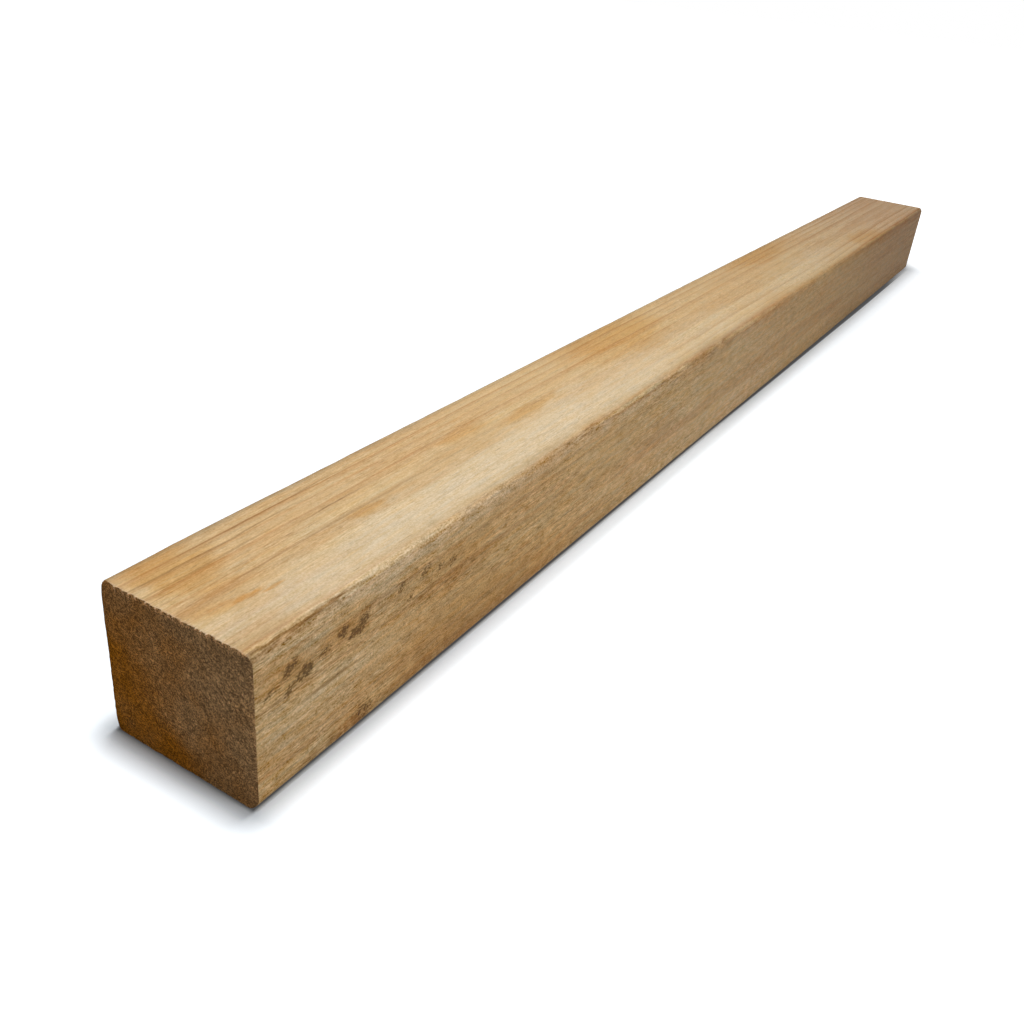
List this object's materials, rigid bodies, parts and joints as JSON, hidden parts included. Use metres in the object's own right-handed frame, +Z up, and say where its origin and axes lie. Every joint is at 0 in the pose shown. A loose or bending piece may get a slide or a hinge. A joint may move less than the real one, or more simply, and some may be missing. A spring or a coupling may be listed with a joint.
{
  "type": "timber lumber plank",
  "caption": "Straight length of near-square sawn softwood with rounded long edges and square-cut ends, used as framing, battens or rails.",
  "frame": {"origin": "middle of the bottom face, on the surface that the timber lies on", "axes": "+X along the length and the grain, from the near end to the far end; +Y across the width; +Z up, through the depth"},
  "size_m": [0.71, 0.05, 0.047],
  "materials": {
    "softwood": "matte"
  },
  "bodies": {
    "root": {"timber_plank": "softwood"}
  },
  "joints": []
}
